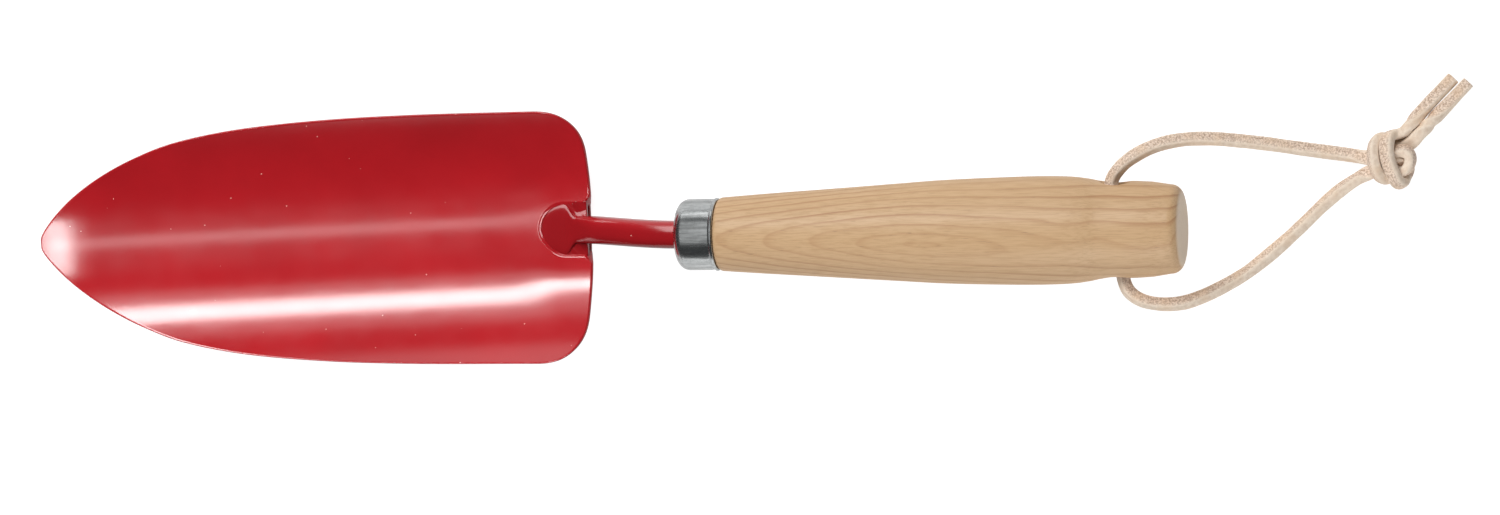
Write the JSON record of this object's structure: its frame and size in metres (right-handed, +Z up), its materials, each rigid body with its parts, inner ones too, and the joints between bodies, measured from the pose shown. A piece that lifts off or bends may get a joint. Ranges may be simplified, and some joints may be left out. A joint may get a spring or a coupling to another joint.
{
  "type": "hand transplanter",
  "caption": "Narrow garden trowel: red pressed steel scoop on a cranked forged shank, steel ferrule, turned wooden handle and a knotted leather hanging loop.",
  "frame": {"origin": "under the middle of the tool without its loop, on the surface that it lies on", "axes": "+X from the blade's tip to the butt of the handle, +Z up, out of the open side of the scoop"},
  "size_m": [0.4094, 0.0758, 0.0301],
  "materials": {
    "red_powder_coat": "semi-gloss powder coat on pressed and forged steel",
    "plated_steel": "bright zinc or nickel plate with fine drawing lines",
    "clear_wood": "turned ash with a clear satin lacquer",
    "natural_leather": "undyed thong, suede on one face and smooth on the other"
  },
  "bodies": {
    "tool": {"blade": "red_powder_coat", "shank": "red_powder_coat", "weld_left": "red_powder_coat", "weld_right": "red_powder_coat", "ferrule": "plated_steel", "handle": "clear_wood"},
    "hanging_loop": {"lace_upper": "natural_leather", "lace_lower": "natural_leather", "lace_knot": "natural_leather", "lace_tail_a": "natural_leather", "lace_tail_b": "natural_leather"}
  },
  "joints": [
    {"name": "loop_swing", "type": "hinge", "parent": "tool", "child": "hanging_loop", "pos_m": [0.14677, 0, 0.01505], "axis": [0, -1, 0], "range_deg": [-130, 165]}
  ]
}
